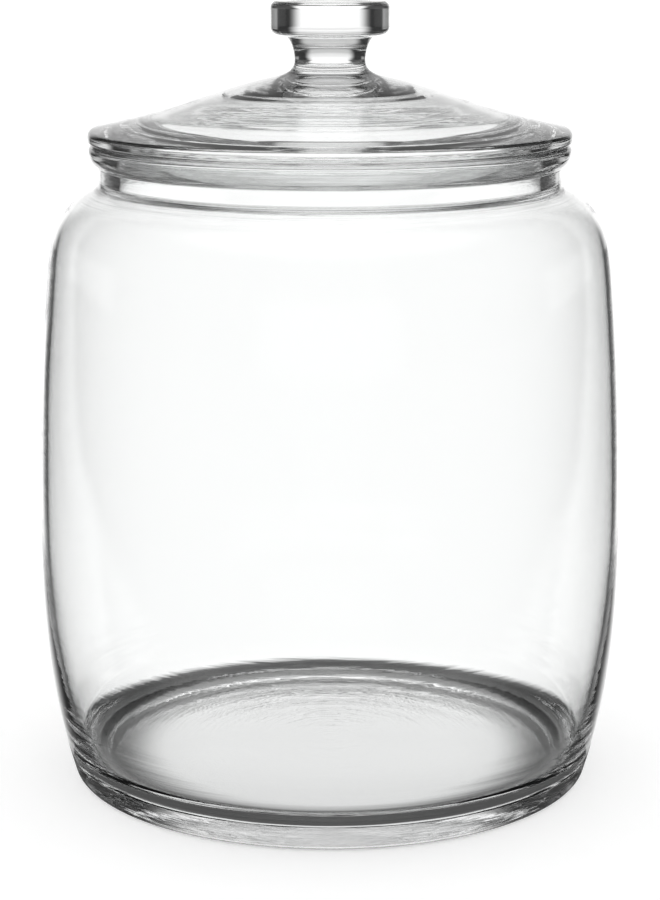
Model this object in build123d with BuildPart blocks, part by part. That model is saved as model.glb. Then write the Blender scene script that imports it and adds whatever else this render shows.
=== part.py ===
from build123d import *
import os
from math import cos, radians, sin, tan

os.makedirs("parts", exist_ok=True)

# A lidded glass canister in millimetres. +Z is up and the origin is the centre of
# the ring that the jar rests on. Every piece is turned about Z, so each profile is
# half a section: its first coordinate is a radius and its second a height.

# --- Driving dimensions: jar -------------------------------------------------
belly_radius = 118.2      # widest part of the body, outside
belly_height = 102.0
body_height = 241.5       # from the table to the foot of the neck
shoulder_inset = 4.8      # how far the long side has drawn in where the shoulder starts
shoulder_drop = 34.9      # start of the shoulder, below the foot of the neck
shoulder_slope = 22.4     # degrees below level, where the shoulder runs in to the neck
foot_inset = 12.7         # how far the side has drawn in at the table, if its heel were sharp
foot_lean = 18.3          # degrees from upright, side of the body at the foot
heel_fillet = 4.0
rest_inset = 13.5         # from that sharp foot in to the inner edge of the resting ring
punt_height = 3.0         # hollow under the base, at its middle
neck_radius = 92.3
neck_length = 16.0        # from its foot to the rim
neck_fillet = 1.5
neck_wall = 8.5
mouth_fillet = 3.0
bead_reach = 3.7          # how far the rolled bead stands out from the neck
bead_drop = 7.55          # from the rim down to where the bead leaves the neck
bead_upright = 1.5        # upright top part of the bead
bead_fillet = 1.25
rim_fillet = 1.2
wall_belly = 3.0
wall_shoulder = 3.0       # across the glass, from the shoulder up to the foot of the neck
wall_foot = 6.0
floor_height = 8.0        # inside floor, at its edge
floor_crown = 1.0         # how much the floor rises to its middle
floor_fillet = 16.0

# --- Driving dimensions: seal ring --------------------------------------------
seal_inset = 0.8          # edge of the seal's flange, in from the edge of the bead
seal_thickness = 1.3      # flange that lies between rim and lid
seal_edge_fillet = 0.4
seal_collar = 1.1         # wall of the collar round the lid's skirt
seal_depth = 5.6          # how far the collar hangs below the flange
fin_reach = 1.1           # how far each fin stands out from the collar
fin_thickness = 0.9
fin_pitch = 2.2
fin_count = 2
seat_gap = 0.1            # play above and below the seal's flange
skirt_gap = 0.1           # play between collar and skirt
fin_gap = 0.3             # play between fin tips and the bore

# --- Driving dimensions: lid ---------------------------------------------------
flange_overhang = 0.3     # edge of the lid, out past the edge of the bead
flange_thickness = 4.8
flange_land = 3.8         # width of the flange's top, outside the dome
flange_rise = 0.8         # how far that top climbs to the dome
flange_top_fillet = 2.2
flange_under_fillet = 1.4
dome_mid = 50.0           # radius where the dome turns from hollow to round
dome_mid_rise = 17.7      # its height above the underside of the flange
dome_slope = 19.6         # degrees below level, steepest slope of the dome
dome_top = 24.0           # radius where the dome runs up into the stem
dome_top_rise = 25.1
dome_wall = 5.0
dome_root_rise = 4.8      # where the dome's underside meets the skirt
skirt_depth = 8.5
skirt_wall = 6.5
skirt_fillet = 1.8
skirt_root_fillet = 7.0
stem_radius = 14.05       # narrowest part of the stem
stem_rise = 32.3          # its height above the underside of the flange
stem_foot_lead = 5.2      # how slowly the stem spreads into the dome
stem_head_lead = 4.2      # how slowly it spreads into the knob
knob_radius = 23.5
knob_rise = 42.8          # lower edge of the knob above the underside of the flange
knob_thickness = 12.2
knob_crown = 0.7
knob_under_slope = 13.0   # degrees, the knob's underside is a flat cone
knob_under_width = 6.0
knob_under_fillet = 3.0
knob_top_fillet = 2.6

# --- Sizes that follow from the fits ---------------------------------------------
foot_radius = belly_radius - foot_inset
rest_inner = foot_radius - rest_inset
shoulder_radius = belly_radius - shoulder_inset
shoulder_height = body_height - shoulder_drop
mouth_radius = neck_radius - neck_wall
bead_radius = neck_radius + bead_reach
rim_height = body_height + neck_length
seal_radius = bead_radius - seal_inset
seal_base = rim_height + seat_gap
seal_top = seal_base + seal_thickness
fin_tip_radius = mouth_radius - fin_gap
collar_outer = fin_tip_radius - fin_reach
collar_inner = collar_outer - seal_collar
collar_foot = seal_base - seal_depth
lid_base = seal_top + seat_gap
skirt_radius = collar_inner - skirt_gap
skirt_inner = skirt_radius - skirt_wall
skirt_foot = lid_base - skirt_depth
flange_radius = bead_radius + flange_overhang


def slope(degrees):
    """Unit step outward and down a slope of so many degrees below level."""
    return Vector(cos(radians(degrees)), -sin(radians(degrees)))


def nearest(sketch, radius, height):
    """The corner of a half section that lies nearest to a radius and height."""
    return sketch.vertices().sort_by_distance(Vector(radius, height))[0]


def side_curve(belly, shoulder, neck):
    """The body's side from its belly up to its shoulder, and over to the foot of the neck."""
    rise = TangentArc(belly, shoulder, tangent=(0, 1))
    lead_in = 0.5 * (neck[1] - shoulder[1])
    turn = Bezier(
        shoulder,
        Vector(*shoulder) + (rise % 1) * lead_in,
        Vector(*neck) + slope(shoulder_slope) * lead_in,
        neck,
    )
    return rise, turn


def foot_curve(belly, foot):
    """The body's side from its belly down to its foot."""
    lean = Vector(sin(radians(foot_lean)), cos(radians(foot_lean)))
    fall = belly[1] - foot[1]
    return Bezier(
        foot,
        Vector(*foot) + lean * (0.30 * fall),
        Vector(belly[0], belly[1] - 0.40 * fall),
        belly,
    )


# --- Jar: body, shoulder, neck, rim and base in one piece of glass ----------------
outer_belly = (belly_radius, belly_height)
outer_shoulder = (shoulder_radius, shoulder_height)
outer_neck = (neck_radius, body_height)
inner_belly = (belly_radius - wall_belly, belly_height)
inner_shoulder = (shoulder_radius - wall_shoulder, shoulder_height)
inner_neck = (
    neck_radius - wall_shoulder * sin(radians(shoulder_slope)),
    body_height - wall_shoulder * cos(radians(shoulder_slope)),
)
inner_mouth = (
    mouth_radius,
    inner_neck[1] + (inner_neck[0] - mouth_radius) * tan(radians(shoulder_slope)),
)
outer_foot = (foot_radius, 0)
bead_foot = (neck_radius, rim_height - bead_drop)
bead_top = (bead_radius, rim_height - bead_upright)

with BuildPart() as jar:
    with BuildSketch(Plane.XZ) as jar_section:
        with BuildLine():
            foot_curve(outer_belly, outer_foot)
            side_curve(outer_belly, outer_shoulder, outer_neck)
            Line(outer_neck, bead_foot)
            TangentArc(bead_top, bead_foot, tangent=(0, -1))
            Polyline(
                bead_top,
                (bead_radius, rim_height),
                (mouth_radius, rim_height),
                inner_mouth,
            )
            Line(inner_mouth, inner_neck)
            side_curve(inner_belly, inner_shoulder, inner_neck)
            inner_side = foot_curve(
                inner_belly,
                (foot_radius + floor_height * tan(radians(foot_lean)) - wall_foot, floor_height),
            )
            TangentArc((0, floor_height + floor_crown), inner_side @ 0, tangent=(1, 0))
            Line((0, floor_height + floor_crown), (0, punt_height))
            TangentArc((0, punt_height), (rest_inner, 0), tangent=(1, 0))
            Line((rest_inner, 0), outer_foot)
        make_face()
        fillet(nearest(jar_section, *outer_foot), heel_fillet)
        fillet(nearest(jar_section, *outer_neck), neck_fillet)
        fillet(nearest(jar_section, *bead_foot), bead_fillet)
        fillet(nearest(jar_section, bead_radius, rim_height), rim_fillet)
        fillet(nearest(jar_section, mouth_radius, rim_height), rim_fillet)
        fillet(nearest(jar_section, *inner_mouth), mouth_fillet)
        fillet(nearest(jar_section, (inner_side @ 0).X, floor_height), floor_fillet)
    revolve(axis=Axis.Z)
jar.part.label = "jar"

# --- Seal ring: flat flange, collar and two soft fins -----------------------------
with BuildPart() as seal_ring:
    with BuildSketch(Plane.XZ) as seal_section:
        with BuildLine():
            Polyline(
                (collar_inner, collar_foot),
                (collar_outer, collar_foot),
                (collar_outer, seal_base),
                (seal_radius, seal_base),
                (seal_radius, seal_top),
                (collar_inner, seal_top),
                close=True,
            )
        make_face()
        for fin in range(fin_count):
            fin_height = collar_foot + (fin + 0.5) * fin_pitch
            with BuildLine():
                Polyline(
                    (collar_outer, fin_height - fin_thickness / 2),
                    (fin_tip_radius, fin_height),
                    (collar_outer, fin_height + fin_thickness / 2),
                    close=True,
                )
            make_face()
        fillet(nearest(seal_section, seal_radius, seal_top), seal_edge_fillet)
        fillet(nearest(seal_section, seal_radius, seal_base), seal_edge_fillet)
    revolve(axis=Axis.Z)
seal_ring.part.label = "seal_ring"

# --- Lid: flange, skirt, dome, stem and knob in one pressing -----------------------
knob_edge = (knob_radius, lid_base + knob_rise)
knob_top = lid_base + knob_rise + knob_thickness
knob_root = Vector(*knob_edge) - Vector(1, tan(radians(knob_under_slope))) * knob_under_width
stem_waist = Vector(stem_radius, lid_base + stem_rise)
flange_top = lid_base + flange_thickness
dome_edge_point = (flange_radius - flange_land, flange_top + flange_rise)
dome_mid_point = (dome_mid, lid_base + dome_mid_rise)
dome_top_point = Vector(dome_top, lid_base + dome_top_rise)
skirt_root = (skirt_inner, lid_base + dome_root_rise)
under_mid = (dome_mid, lid_base + dome_mid_rise - dome_wall)
under_crown = (0, under_mid[1] + dome_mid * tan(radians(dome_slope / 2)))

with BuildPart() as lid:
    with BuildSketch(Plane.XZ) as lid_section:
        with BuildLine():
            # from the knob's crown down its side and under it to the stem
            TangentArc((0, knob_top + knob_crown), (knob_radius, knob_top), tangent=(1, 0))
            under = Polyline((knob_radius, knob_top), knob_edge, knob_root)
            Bezier(
                knob_root,
                knob_root + (under % 1) * (stem_head_lead / 3),
                stem_waist + Vector(0, stem_head_lead),
                stem_waist,
            )
            # from the stem out over the dome to the flange
            dome_round = TangentArc(dome_mid_point, dome_top_point, tangent=-slope(dome_slope))
            Bezier(
                stem_waist,
                stem_waist - Vector(0, stem_foot_lead),
                dome_top_point + (dome_round % 1) * stem_foot_lead,
                dome_top_point,
            )
            TangentArc(dome_mid_point, dome_edge_point, tangent=slope(dome_slope))
            Polyline(
                dome_edge_point,
                (flange_radius, flange_top),
                (flange_radius, lid_base),
                (skirt_radius, lid_base),
                (skirt_radius, skirt_foot),
                (skirt_inner, skirt_foot),
                skirt_root,
            )
            # from the skirt up the hollow underside to the middle
            TangentArc(under_mid, skirt_root, tangent=slope(dome_slope))
            TangentArc(under_crown, under_mid, tangent=(1, 0))
            Line(under_crown, (0, knob_top + knob_crown))
        make_face()
        fillet(nearest(lid_section, knob_radius, knob_top), knob_top_fillet)
        fillet(nearest(lid_section, *knob_edge), knob_under_fillet)
        fillet(nearest(lid_section, flange_radius, flange_top), flange_top_fillet)
        fillet(nearest(lid_section, flange_radius, lid_base), flange_under_fillet)
        fillet(nearest(lid_section, skirt_radius, skirt_foot), skirt_fillet)
        fillet(nearest(lid_section, skirt_inner, skirt_foot), skirt_fillet)
        fillet(nearest(lid_section, *skirt_root), skirt_root_fillet)
    revolve(axis=Axis.Z)
lid.part.label = "lid"

for piece in (jar, seal_ring, lid):
    export_step(piece.part, f"parts/{piece.part.label}.step")
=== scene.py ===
from math import cos, pi, radians, sin

import bmesh
import bpy
import numpy as np
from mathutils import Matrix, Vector


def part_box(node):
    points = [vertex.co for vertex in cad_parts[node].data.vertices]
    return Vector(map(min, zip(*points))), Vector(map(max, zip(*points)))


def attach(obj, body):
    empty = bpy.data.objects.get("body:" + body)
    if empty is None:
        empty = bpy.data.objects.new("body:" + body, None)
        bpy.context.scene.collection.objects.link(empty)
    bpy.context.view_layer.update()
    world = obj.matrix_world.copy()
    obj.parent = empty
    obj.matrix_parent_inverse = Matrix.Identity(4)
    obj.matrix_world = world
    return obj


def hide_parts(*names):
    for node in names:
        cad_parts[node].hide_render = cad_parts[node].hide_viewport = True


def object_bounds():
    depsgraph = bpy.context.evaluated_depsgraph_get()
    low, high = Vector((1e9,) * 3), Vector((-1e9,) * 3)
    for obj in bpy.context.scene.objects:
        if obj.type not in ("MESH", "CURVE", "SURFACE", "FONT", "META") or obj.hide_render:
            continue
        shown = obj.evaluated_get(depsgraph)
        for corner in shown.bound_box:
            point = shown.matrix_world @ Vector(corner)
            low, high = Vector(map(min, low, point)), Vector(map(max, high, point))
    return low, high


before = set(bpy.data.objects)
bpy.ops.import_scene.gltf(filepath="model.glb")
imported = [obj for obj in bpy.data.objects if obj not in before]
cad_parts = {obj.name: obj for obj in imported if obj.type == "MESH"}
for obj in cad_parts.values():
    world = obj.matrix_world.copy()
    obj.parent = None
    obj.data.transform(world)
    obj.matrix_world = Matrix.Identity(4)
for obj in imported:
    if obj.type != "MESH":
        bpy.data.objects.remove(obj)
cad_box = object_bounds()

# The looks of the lidded glass canister. Every piece is turned about Z, so each one is
# lathed here from its CAD node's own half section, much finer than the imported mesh, with
# the slight unevenness of blown and pressed glass on the faces that nothing fits against.

MM = 0.001
SEGMENTS = 240            # steps round the axis
LONGEST_STEP = 1.8 * MM   # along a section
PLAIN_STEP = 6.0 * MM     # along the jar's long plain wall, and over the middle of its floor
PLAIN_WALL = (50 * MM, 205 * MM)
PLAIN_FLOOR = 70 * MM
LARGEST_TURN = 6.0        # degrees between neighbouring steps of a section
ON_AXIS = 0.01 * MM


# --- Sections read from the CAD nodes ----------------------------------------------
def seam_spans(node):
    """The node's half section at azimuth 0, as spans: their ends, (radius, height), and normals."""
    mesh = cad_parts[node].data
    flat = {}
    for v in mesh.vertices:
        if abs(v.co.y) < 0.001 * MM and v.co.x > -0.001 * MM:
            flat[v.index] = (round(v.co.x, 6), round(v.co.z, 6))
    normals = mesh.corner_normals
    spans = {}
    for face in mesh.polygons:
        corners = [
            (i, flat[mesh.loops[i].vertex_index])
            for i in face.loop_indices
            if mesh.loops[i].vertex_index in flat
        ]
        if len(corners) != 2 or corners[0][1] == corners[1][1]:
            continue
        (ia, a), (ib, b) = corners
        spans[frozenset((a, b))] = {a: normals[ia].vector.copy(), b: normals[ib].vector.copy()}
    return spans


def ordered(spans):
    """The section's points in one run, from its first end to its last."""
    links = {}
    for pair in spans:
        a, b = tuple(pair)
        links.setdefault(a, []).append(b)
        links.setdefault(b, []).append(a)
    # a flat ring has no span across it: its two free corners lie at one height
    free = [p for p in links if len(links[p]) == 1 and p[0] > ON_AXIS]
    while free:
        p = free.pop(0)
        q = min((o for o in free if abs(o[1] - p[1]) < ON_AXIS), key=lambda o: abs(o[0] - p[0]))
        free.remove(q)
        links[p].append(q)
        links[q].append(p)
        up = Vector((0, 0, 1))
        spans[frozenset((p, q))] = {p: up, q: up}
    on_axis = sorted(p for p in links if p[0] < ON_AXIS)
    run = [on_axis[0] if on_axis else min(links)]
    last = None
    while True:
        following = [p for p in links[run[-1]] if p != last]
        if not following or following[0] == run[0]:
            return run
        last = run[-1]
        run.append(following[0])


def longest_step(point):
    """Longest step of the lathed section at a point of it."""
    radius, height = point
    plain = height < PLAIN_WALL[1] and (height > PLAIN_WALL[0] or radius < PLAIN_FLOOR)
    return PLAIN_STEP if plain else LONGEST_STEP


def fine_section(node):
    """The node's section as finely spaced points, on curves that follow its exact normals."""
    spans = seam_spans(node)
    run = ordered(spans)
    closed = run[0][0] > ON_AXIS
    if closed:
        run.append(run[0])
    points = []
    for a, b in zip(run, run[1:]):
        normals = spans[frozenset((a, b))]
        pa, pb = np.array(a), np.array(b)
        length = float(np.hypot(*(pb - pa)))
        ends = []
        for p in (a, b):
            along = np.array((-normals[p].z, normals[p].x))
            along *= np.sign(along @ (pb - pa)) or 1.0
            ends.append(along / max(np.hypot(*along), 1e-9))
        turn = np.degrees(np.arccos(np.clip(ends[0] @ ends[1], -1, 1)))
        steps = length / longest_step((pa + pb) / 2)
        count = max(1, int(np.ceil(steps)), int(np.ceil(turn / LARGEST_TURN)))
        for u in np.arange(count) / count:
            blend = (2*u**3 - 3*u**2 + 1, u**3 - 2*u**2 + u, -2*u**3 + 3*u**2, u**3 - u**2)
            points.append(blend[0]*pa + blend[1]*length*ends[0] + blend[2]*pb + blend[3]*length*ends[1])
    if not closed:
        points.append(np.array(run[-1]))
    return np.array(points), closed


# --- Unevenness of the glass -------------------------------------------------------
def smooth_step(value, start, end):
    u = np.clip((value - start) / (end - start), 0, 1)
    return u*u*(3 - 2*u)


def inward(section):
    """Unit normals of a section, pointing into the glass."""
    step = np.gradient(section, axis=0)
    normal = np.stack((step[:, 1], -step[:, 0]), -1)
    normal /= np.maximum(np.hypot(*normal.T), 1e-12)[:, None]
    area = np.sum(section[:-1, 0]*section[1:, 1] - section[1:, 0]*section[:-1, 1])
    return normal * (1 if area < 0 else -1)


def ripples(heights, angle, waves):
    """Sum of shallow waves, each (depth, wavelength up the glass, turns round it, phase)."""
    total = 0
    for depth, wavelength, turns, phase in waves:
        total = total + depth * (0.5 + 0.5*np.sin(2*pi*heights/wavelength + turns*angle + phase))
    return total


NECK_LEFT_TRUE = 20 * MM    # down from the jar's rim
JAR_UNDERLAY = 0.05 * MM    # keeps the jar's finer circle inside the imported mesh's box
OUTSIDE_SHARE = 0.2         # the outside is smoother than the inside
SHOULDER_LEAN = 0.6         # the shoulder's waves climb with the radius too
JAR_WALL_WAVES = (
    (0.06 * MM, 83 * MM, 1, 0.4),
    (0.03 * MM, 57 * MM, 2, 2.1),
)
JAR_HEEL_WAVES = (
    (0.07 * MM, 7.9 * MM, 0, 0.0),
    (0.04 * MM, 5.1 * MM, 1, 1.7),
)
JAR_SHOULDER_WAVES = (
    (0.10 * MM, 6.1 * MM, 0, 0.9),
    (0.05 * MM, 9.7 * MM, -1, 2.8),
)
LID_WAVES = (
    (0.03 * MM, 5.2 * MM, 0, 0.3),
    (0.03 * MM, 8.9 * MM, 0, 2.2),
    (0.04 * MM, 31 * MM, 1, 1.1),
)


def on_outside(section):
    """True along the jar's outer face, which lies to one side of its mouth in the section's run."""
    before = np.arange(len(section)) < np.argmax(section[:, 1])
    return before if section[before, 0].max() > section[~before, 0].max() else ~before


def jar_unevenness(section, angle):
    """Depth that the jar's surface lies under its true one, and none where it bears or fits."""
    radius, height = section[:, :1], section[:, 1:]
    neck = height.max() - NECK_LEFT_TRUE
    free = smooth_step(height, 0, 6 * MM) * smooth_step(height, neck + 6 * MM, neck - 4 * MM)
    share = np.where(on_outside(section), OUTSIDE_SHARE, 1.0)[:, None]
    wall = ripples(height, angle, JAR_WALL_WAVES)
    heel = ripples(height, angle, JAR_HEEL_WAVES) * smooth_step(height, 50 * MM, 12 * MM)
    shoulder = ripples(height + SHOULDER_LEAN*radius, angle, JAR_SHOULDER_WAVES)
    shoulder = shoulder * smooth_step(height, neck - 12 * MM, neck - 3 * MM)
    return free * (JAR_UNDERLAY + share * (wall + heel + shoulder))


def lid_unevenness(section, angle):
    """Depth that the lid's surface lies under its true one: none on its seat, skirt, stem and knob."""
    radius, height = section[:, :1], section[:, 1:]
    seal_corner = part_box("seal_ring")[1]
    free = smooth_step(height, seal_corner.z + 5 * MM, seal_corner.z + 8 * MM)
    hollow = smooth_step(radius, seal_corner.x - 22 * MM, seal_corner.x - 27 * MM)
    clear_of_stem = smooth_step(radius, 24 * MM, 34 * MM)
    return np.maximum(free, hollow) * clear_of_stem * ripples(radius, angle, LID_WAVES)


def lathe(name, node, body, unevenness=None):
    """A smooth solid of revolution that stands for a CAD node."""
    section, closed = fine_section(node)
    rows = len(section)
    angle = np.linspace(0, 2*pi, SEGMENTS, endpoint=False)[None, :]
    depth = np.zeros((rows, SEGMENTS)) if unevenness is None else unevenness(section, angle)
    normal = inward(section)
    radius = section[:, :1] + normal[:, :1]*depth
    height = section[:, 1:] + normal[:, 1:]*depth
    if not closed:
        radius[[0, -1]] = 0
        height[0] = height[0].mean()
        height[-1] = height[-1].mean()
    co = np.stack((radius*np.cos(angle), radius*np.sin(angle), height), -1)
    below, here = np.arange(rows if closed else rows - 1), np.arange(SEGMENTS)
    above, beside = (below + 1) % rows, (here + 1) % SEGMENTS
    quads = np.stack(
        (
            below[:, None]*SEGMENTS + here,
            below[:, None]*SEGMENTS + beside,
            above[:, None]*SEGMENTS + beside,
            above[:, None]*SEGMENTS + here,
        ),
        -1,
    )
    mesh = bpy.data.meshes.new(name)
    mesh.from_pydata(co.reshape(-1, 3).tolist(), [], quads.reshape(-1, 4).tolist())
    bm = bmesh.new()
    bm.from_mesh(mesh)
    if not closed:
        tips = [v for v in bm.verts if v.co.xy.length < 1e-9]
        bmesh.ops.remove_doubles(bm, verts=tips, dist=ON_AXIS / 10)
    bmesh.ops.recalc_face_normals(bm, faces=bm.faces)
    bm.to_mesh(mesh)
    bm.free()
    mesh.shade_smooth()
    piece = bpy.data.objects.new(name, mesh)
    bpy.context.scene.collection.objects.link(piece)
    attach(piece, body)
    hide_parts(node)
    return piece


# --- Materials ---------------------------------------------------------------------
GLASS_TINT, GLASS_IOR = (0.994, 0.999, 0.997), 1.5
SILICONE_TINT, SILICONE_IOR = (0.98, 0.985, 0.985), 1.41
RING_SCALE = 560            # cells per metre of the fine rings
RING_DRIFT = 0.03           # how fast a ring changes on its way round, against across


def material(name, base, ior):
    """A Principled material, its node tree and its shader."""
    mat = bpy.data.materials.new(name)
    mat.use_nodes = True
    shader = mat.node_tree.nodes["Principled BSDF"]
    shader.inputs["Base Color"].default_value = (*base, 1)
    shader.inputs["IOR"].default_value = ior
    return mat, mat.node_tree, shader


def noise(tree, stretch, scale, detail, roughness=0.5):
    """A noise that is stretched along the object's own axes."""
    place = tree.nodes.new("ShaderNodeTexCoord")
    mapping = tree.nodes.new("ShaderNodeMapping")
    mapping.inputs["Scale"].default_value = stretch
    texture = tree.nodes.new("ShaderNodeTexNoise")
    texture.inputs["Scale"].default_value = scale
    texture.inputs["Detail"].default_value = detail
    texture.inputs["Roughness"].default_value = roughness
    tree.links.new(place.outputs["Object"], mapping.inputs["Vector"])
    tree.links.new(mapping.outputs["Vector"], texture.inputs["Vector"])
    return texture.outputs["Fac"]


def rings(tree, scale, detail):
    """Fine lines that run round Z, in the radius and in the height, each wandering along its way."""
    place = tree.nodes.new("ShaderNodeTexCoord")
    split = tree.nodes.new("ShaderNodeSeparateXYZ")
    level = tree.nodes.new("ShaderNodeMapping")
    level.inputs["Scale"].default_value = (1, 1, 0)
    radius = tree.nodes.new("ShaderNodeVectorMath")
    radius.operation = "LENGTH"
    drift = tree.nodes.new("ShaderNodeMath")
    drift.operation = "MULTIPLY"
    drift.inputs[1].default_value = RING_DRIFT
    join = tree.nodes.new("ShaderNodeCombineXYZ")
    texture = tree.nodes.new("ShaderNodeTexNoise")
    texture.inputs["Scale"].default_value = scale
    texture.inputs["Detail"].default_value = detail
    tree.links.new(place.outputs["Object"], split.inputs[0])
    tree.links.new(place.outputs["Object"], level.inputs["Vector"])
    tree.links.new(level.outputs["Vector"], radius.inputs[0])
    tree.links.new(split.outputs["X"], drift.inputs[0])
    tree.links.new(radius.outputs["Value"], join.inputs["X"])
    tree.links.new(split.outputs["Z"], join.inputs["Y"])
    tree.links.new(drift.outputs[0], join.inputs["Z"])
    tree.links.new(join.outputs[0], texture.inputs["Vector"])
    return texture.outputs["Fac"], radius.outputs["Value"], split.outputs["Z"]


def larger(tree, a, b):
    """The larger of two sockets' values."""
    node = tree.nodes.new("ShaderNodeMath")
    node.operation = "MAXIMUM"
    tree.links.new(a, node.inputs[0])
    tree.links.new(b, node.inputs[1])
    return node.outputs[0]


def to_range(tree, value, low, high, start=0.3, end=0.7):
    """A value carried over from start..end to low..high, and held at those ends."""
    node = tree.nodes.new("ShaderNodeMapRange")
    node.inputs["From Min"].default_value = start
    node.inputs["From Max"].default_value = end
    node.inputs["To Min"].default_value = low
    node.inputs["To Max"].default_value = high
    tree.links.new(value, node.inputs["Value"])
    return node.outputs["Result"]


def bump(tree, height, distance, strength, below=None):
    """A bump on top of another; its strength is a number, or a socket where it varies."""
    node = tree.nodes.new("ShaderNodeBump")
    node.inputs["Distance"].default_value = distance
    if isinstance(strength, float):
        node.inputs["Strength"].default_value = strength
    else:
        tree.links.new(strength, node.inputs["Strength"])
    tree.links.new(height, node.inputs["Height"])
    if below is not None:
        tree.links.new(below, node.inputs["Normal"])
    return node.outputs["Normal"]


def clear_glass(name, ream, waviness, ringed):
    """Soda-lime glass: faint ream, fine rings left by the mould where it is thick, hardly any haze."""
    mat, tree, shader = material(name, GLASS_TINT, GLASS_IOR)
    shader.inputs["Transmission Weight"].default_value = 1.0
    lines = bump(tree, noise(tree, (1, 1, 14), 16, 3, 0.55), 0.4 * MM, ream)
    waves = bump(tree, noise(tree, (1, 1, 1.6), 22, 1), 0.5 * MM, waviness, lines)
    fine, radius, height = rings(tree, RING_SCALE, 2.5)
    ringed_waves = bump(tree, fine, 0.05 * MM, ringed(tree, radius, height), waves)
    tree.links.new(ringed_waves, shader.inputs["Normal"])
    haze = to_range(tree, noise(tree, (1, 1, 1), 55, 4), 0.0, 0.012, 0.45, 0.75)
    tree.links.new(haze, shader.inputs["Roughness"])
    return mat


def jar_rings(tree, radius, height):
    """The heel and the neck are ringed, the blown wall hardly."""
    heel = to_range(tree, height, 0.9, 0.04, 22 * MM, 48 * MM)
    neck = to_range(tree, height, 0.04, 0.8, 226 * MM, 234 * MM)
    return larger(tree, heel, neck)


def lid_rings(tree, radius, height):
    """The flange is ringed most, the dome less."""
    return to_range(tree, radius, 0.2, 1.0, 70 * MM, 86 * MM)


def silicone(name):
    """Clear silicone, with a fine moulded grain and a soft sheen."""
    mat, tree, shader = material(name, SILICONE_TINT, SILICONE_IOR)
    shader.inputs["Transmission Weight"].default_value = 1.0
    grain = bump(tree, noise(tree, (1, 1, 1), 900, 3), 0.05 * MM, 0.25)
    tree.links.new(grain, shader.inputs["Normal"])
    sheen = to_range(tree, noise(tree, (1, 1, 1), 140, 3), 0.04, 0.12)
    tree.links.new(sheen, shader.inputs["Roughness"])
    return mat


jar = lathe("jar_glass_body", "jar", "jar", jar_unevenness)
jar.data.materials.append(clear_glass("jar_clear_glass", 0.05, 0.04, jar_rings))
lid = lathe("lid_glass_body", "lid", "lid", lid_unevenness)
lid.data.materials.append(clear_glass("lid_clear_glass", 0.04, 0.03, lid_rings))
ring = lathe("seal_soft_ring", "seal_ring", "seal")
ring.data.materials.append(silicone("seal_silicone"))


# --- Stage: white floor and air ------------------------------------------------------
FLOOR_HALF = 40.0
FLOOR_HEIGHT = -0.3 * MM    # a hair under the glass, so that the two faces don't meet
FLOOR_WHITE = (0.85, 0.85, 0.85)
FLOOR_GLOW = 0.3            # lifts the jar's own shade on the floor


def add_mesh(name, corners, faces, mat):
    """A mesh that belongs to the stage."""
    mesh = bpy.data.meshes.new(name)
    mesh.from_pydata(corners, [], faces)
    mesh.materials.append(mat)
    thing = bpy.data.objects.new(name, mesh)
    bpy.context.scene.collection.objects.link(thing)
    return thing


floor_paint, _, floor_shader = material("floor_white", FLOOR_WHITE, 1.5)
floor_shader.inputs["Roughness"].default_value = 1.0
floor_shader.inputs["Specular IOR Level"].default_value = 0.0
floor_shader.inputs["Emission Color"].default_value = (1, 1, 1, 1)
floor_shader.inputs["Emission Strength"].default_value = FLOOR_GLOW
add_mesh(
    "floor",
    [(x*FLOOR_HALF, y*FLOOR_HALF, FLOOR_HEIGHT) for x, y in ((-1, -1), (1, -1), (1, 1), (-1, 1))],
    [(0, 1, 2, 3)],
    floor_paint,
)

world = bpy.data.worlds.new("studio")
bpy.context.scene.world = world
world.use_nodes = True
world.node_tree.nodes["Background"].inputs["Color"].default_value = (1, 1, 1, 1)

# --- Camera ------------------------------------------------------------------------
CAMERA_TILT = 12.4          # degrees below level
CAMERA_PLACE = (0, -1.0, 0.3528)
camera_data = bpy.data.cameras.new("camera")
camera_data.lens = 100
camera_data.sensor_width = 36
camera = bpy.data.objects.new("camera", camera_data)
bpy.context.scene.collection.objects.link(camera)
camera.location = CAMERA_PLACE
camera.rotation_euler = (radians(90 - CAMERA_TILT), 0, 0)
bpy.context.scene.camera = camera

# --- Studio tent -------------------------------------------------------------------
# Glass shows what stands round it, so it is lit as a glass photographer does it: a white
# panel and a white sweep behind, a softbox overhead on the camera's side, and dark cloth
# elsewhere. Only reflections and refractions see the tent, and it turns with the camera.
TENT_RADIUS = 4.0
TENT_CELL = 1.5             # degrees
OBJECT_RADIUS = cad_box[1].x
FLOOR_CARD_HEIGHT = -0.1 * MM
LIT_FLOOR = 1.15            # brightness of the floor out in the light
# painted light: the floor seen through the jar's base, painted lighter than its real shade there
PAINTED_FLOOR_UNDER_GLASS = 0.85
DARK_CLOTH = 0.03
# the dark card beside the jar, and the painted shade under its heel
DARK_CARD_AND_PAINTED_HEEL_SHADE = 0.08


def window(azimuth, elevation, half_width, high, edge):
    """1 inside a lit window that stands on the floor, centred on azimuth 0, with soft edges."""
    across = 1 - smooth_step(np.abs(azimuth), half_width, half_width + edge)
    return across * (1 - smooth_step(elevation, high, high + edge))


def tent_light(azimuth, elevation):
    """Brightness of the tent, for an azimuth from straight behind the object, 0 to 180."""
    panel = window(azimuth, elevation, 17 + 3*smooth_step(elevation, 3, 9), 12, 14)
    panel = panel * (1 - 0.25*smooth_step(elevation, 3, 12))
    upper_panel = (0.5 - 0.2*smooth_step(elevation, 22, 34)) * window(azimuth, elevation, 20, 70, 12)
    overhead = 0.8 * smooth_step(elevation, 40, 66) * smooth_step(azimuth, 55, 100)
    side_strip = 0.3 * window(azimuth - 68, elevation, 14, 8, 6)
    low_front = 0.17 * window(azimuth - 180, elevation, 25, 6, 6)
    brightest = np.maximum.reduce([panel, upper_panel, overhead, side_strip, low_front])
    return DARK_CLOTH + LIT_FLOOR*brightest


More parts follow.
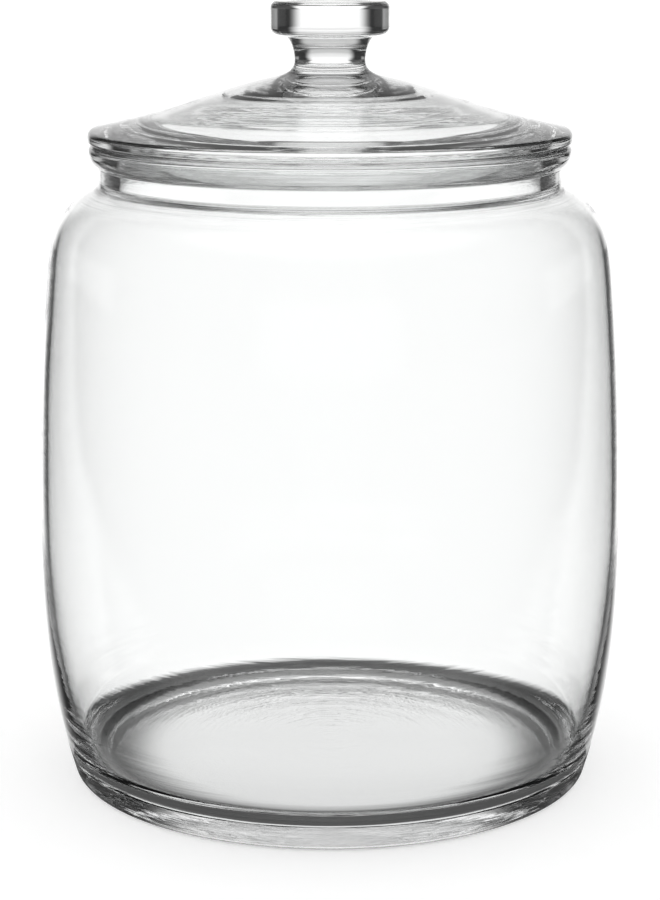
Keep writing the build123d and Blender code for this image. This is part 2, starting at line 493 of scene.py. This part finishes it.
def floor_light(azimuth, radius):
    """Brightness painted on the card on the floor: the lit floor behind, a lit band in front, dark
    beside, painted light under the glass and painted shade under the heel.
    """
    x, y = radius*sin(radians(azimuth)), max(radius*cos(radians(azimuth)), 0)
    edge = OBJECT_RADIUS*(0.85 + 0.15*smooth_step(y, 0, 0.1)) + 0.3*y
    behind = 1 - smooth_step(x - edge, 0, 0.04 + 0.12*y) if y > 0 else 0
    front = smooth_step(radius, 0.12, 0.16) * (1 - smooth_step(radius, 0.24, 0.3))
    front = smooth_step(azimuth, 115, 150) * front
    around = DARK_CARD_AND_PAINTED_HEEL_SHADE + (LIT_FLOOR - DARK_CARD_AND_PAINTED_HEEL_SHADE)*max(behind, front)
    # painted shade: under the glass the card darkens from its painted light in the middle to dark under
    # the heel
    heel = smooth_step(radius, 0.58*OBJECT_RADIUS, 0.76*OBJECT_RADIUS)
    under = PAINTED_FLOOR_UNDER_GLASS + (DARK_CARD_AND_PAINTED_HEEL_SHADE - PAINTED_FLOOR_UNDER_GLASS)*heel
    beyond = smooth_step(radius, 0.94*OBJECT_RADIUS, 1.0*OBJECT_RADIUS)
    return around*beyond + under*(1 - beyond)


def tent_cloth():
    """Glows as its painted light says, and as the plain sky for light that the floor sends up."""
    mat = bpy.data.materials.new("tent_cloth")
    mat.use_nodes = True
    tree = mat.node_tree
    tree.nodes.clear()
    paint = tree.nodes.new("ShaderNodeAttribute")
    paint.attribute_name = "light"
    path = tree.nodes.new("ShaderNodeLightPath")
    bounced = tree.nodes.new("ShaderNodeMath")
    bounced.operation = "MINIMUM"
    bounced.inputs[1].default_value = 1.0
    blend = tree.nodes.new("ShaderNodeMix")
    glow = tree.nodes.new("ShaderNodeEmission")
    out = tree.nodes.new("ShaderNodeOutputMaterial")
    tree.links.new(path.outputs["Diffuse Depth"], bounced.inputs[0])
    tree.links.new(bounced.outputs[0], blend.inputs["Factor"])
    tree.links.new(paint.outputs["Fac"], blend.inputs["A"])
    blend.inputs["B"].default_value = 1.0
    tree.links.new(blend.outputs["Result"], glow.inputs["Strength"])
    tree.links.new(glow.outputs[0], out.inputs["Surface"])
    mat.cycles.emission_sampling = "NONE"
    return mat


def tent_piece(name, levels, place, light):
    """A sheet of the tent, gridded by azimuth and a second measure, with its light painted on."""
    azimuths = np.arange(-180, 180, TENT_CELL)
    paint = np.array([[light(abs(azimuth), level) for level in levels] for azimuth in azimuths])
    corners = [place(radians(azimuth), level) for azimuth in azimuths for level in levels]
    across, rise = len(azimuths), len(levels)
    faces = []
    for i in range(across):
        k = (i + 1) % across
        faces += [(i*rise + j, k*rise + j, k*rise + j + 1, i*rise + j + 1) for j in range(rise - 1)]
    sheet = add_mesh(name, corners, faces, cloth)
    layer = sheet.data.attributes.new("light", "FLOAT", "POINT")
    layer.data.foreach_set("value", paint.ravel())
    sheet.parent = rig
    sheet.visible_camera = False
    sheet.visible_diffuse = False
    sheet.visible_shadow = False


def on_dome(azimuth, elevation):
    """A point of the tent's dome."""
    level = radians(elevation)
    return (
        TENT_RADIUS*cos(level)*sin(azimuth),
        TENT_RADIUS*cos(level)*cos(azimuth),
        TENT_RADIUS*sin(level),
    )


def on_floor(azimuth, radius):
    """A point of the card on the floor."""
    return (radius*sin(azimuth), radius*cos(azimuth), FLOOR_CARD_HEIGHT)


rig = bpy.data.objects.new("tent_rig", None)
bpy.context.scene.collection.objects.link(rig)
track = rig.constraints.new("LOCKED_TRACK")
track.target = camera
track.track_axis = "TRACK_NEGATIVE_Y"
track.lock_axis = "LOCK_Z"

cloth = tent_cloth()
tent_piece("tent_dome", np.arange(0, 90 + TENT_CELL, TENT_CELL), on_dome, tent_light)
under_glass = np.linspace(0.002, 1, 40)
beyond_glass = np.geomspace(1.02, TENT_RADIUS/OBJECT_RADIUS, 80)
card_radii = np.append(under_glass, beyond_glass)*OBJECT_RADIUS
tent_piece("tent_floor_card", card_radii, on_floor, floor_light)

# --- Render set-up -----------------------------------------------------------------
GLASS_BOUNCES = 24
bpy.context.scene.view_settings.view_transform = "Standard"
cycles = bpy.context.scene.cycles
cycles.max_bounces = GLASS_BOUNCES
cycles.transmission_bounces = GLASS_BOUNCES
cycles.glossy_bounces = 12
cycles.transparent_max_bounces = 16
